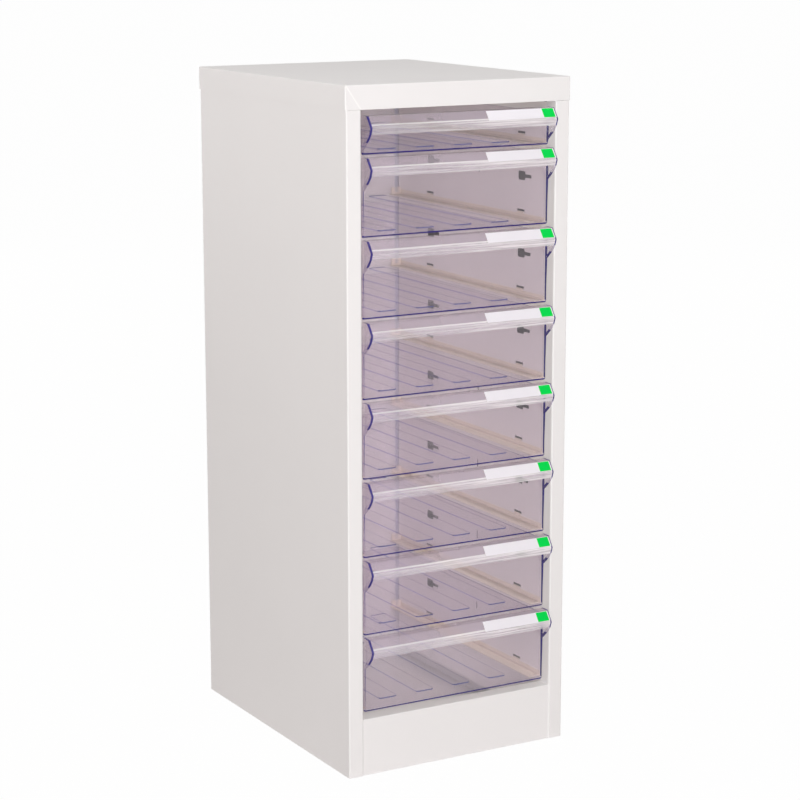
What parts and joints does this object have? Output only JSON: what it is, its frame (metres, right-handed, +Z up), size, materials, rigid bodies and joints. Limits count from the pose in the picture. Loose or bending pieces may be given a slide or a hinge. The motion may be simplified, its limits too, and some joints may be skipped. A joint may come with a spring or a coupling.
{
  "type": "filing cabinet",
  "caption": "Tall slim steel filing cabinet for A4 paper, with clear plastic drawers that slide out by a sloped hooded grip across each front.",
  "frame": {"origin": "on the floor, at the middle of the footprint from the hoods' foremost point to the rear face", "axes": "+Z up, -Y towards the drawer fronts, +X to the right of someone facing them"},
  "size_m": [0.274, 0.36, 0.74],
  "materials": {
    "powder_coat": "warm off-white powder coat, fine orange peel, satin",
    "rail_steel": "cream coated rail angle, satin",
    "rivet_metal": "bare aluminium blind rivets",
    "clear_plastic": "clear polystyrene with a faint violet grey tint and blue edges",
    "label_card": "white card",
    "green_sticker": "bright green printed sticker, left plain"
  },
  "bodies": {
    "cabinet": {"left_side_panel": "powder_coat", "right_side_panel": "powder_coat", "top_cap": "powder_coat", "back_panel": "powder_coat", "back_rivets": "rivet_metal", "bottom_plate": "powder_coat", "kick_panel": "powder_coat", "left_liner": "powder_coat", "right_liner": "powder_coat", "left_rail_1": "rail_steel", "right_rail_1": "rail_steel", "left_rail_2": "rail_steel", "right_rail_2": "rail_steel", "left_rail_3": "rail_steel", "right_rail_3": "rail_steel", "left_rail_4": "rail_steel", "right_rail_4": "rail_steel", "left_rail_5": "rail_steel", "right_rail_5": "rail_steel", "left_rail_6": "rail_steel", "right_rail_6": "rail_steel", "left_rail_7": "rail_steel", "right_rail_7": "rail_steel", "left_rail_8": "rail_steel", "right_rail_8": "rail_steel"},
    "drawer_1": {"drawer_tray_1": "clear_plastic", "label_card_1": "label_card", "label_sticker_1": "green_sticker"},
    "drawer_2": {"drawer_tray_2": "clear_plastic", "label_card_2": "label_card", "label_sticker_2": "green_sticker"},
    "drawer_3": {"drawer_tray_3": "clear_plastic", "label_card_3": "label_card", "label_sticker_3": "green_sticker"},
    "drawer_4": {"drawer_tray_4": "clear_plastic", "label_card_4": "label_card", "label_sticker_4": "green_sticker"},
    "drawer_5": {"drawer_tray_5": "clear_plastic", "label_card_5": "label_card", "label_sticker_5": "green_sticker"},
    "drawer_6": {"drawer_tray_6": "clear_plastic", "label_card_6": "label_card", "label_sticker_6": "green_sticker"},
    "drawer_7": {"drawer_tray_7": "clear_plastic", "label_card_7": "label_card", "label_sticker_7": "green_sticker"},
    "drawer_8": {"drawer_tray_8": "clear_plastic", "label_card_8": "label_card", "label_sticker_8": "green_sticker"}
  },
  "joints": [
    {"name": "drawer_1_slide", "type": "slide", "parent": "cabinet", "child": "drawer_1", "axis": [0, -1, 0], "range_m": [0, 0.26]},
    {"name": "drawer_2_slide", "type": "slide", "parent": "cabinet", "child": "drawer_2", "axis": [0, -1, 0], "range_m": [0, 0.26]},
    {"name": "drawer_3_slide", "type": "slide", "parent": "cabinet", "child": "drawer_3", "axis": [0, -1, 0], "range_m": [0, 0.26]},
    {"name": "drawer_4_slide", "type": "slide", "parent": "cabinet", "child": "drawer_4", "axis": [0, -1, 0], "range_m": [0, 0.26]},
    {"name": "drawer_5_slide", "type": "slide", "parent": "cabinet", "child": "drawer_5", "axis": [0, -1, 0], "range_m": [0, 0.26]},
    {"name": "drawer_6_slide", "type": "slide", "parent": "cabinet", "child": "drawer_6", "axis": [0, -1, 0], "range_m": [0, 0.26]},
    {"name": "drawer_7_slide", "type": "slide", "parent": "cabinet", "child": "drawer_7", "axis": [0, -1, 0], "range_m": [0, 0.26]},
    {"name": "drawer_8_slide", "type": "slide", "parent": "cabinet", "child": "drawer_8", "axis": [0, -1, 0], "range_m": [0, 0.26]}
  ]
}
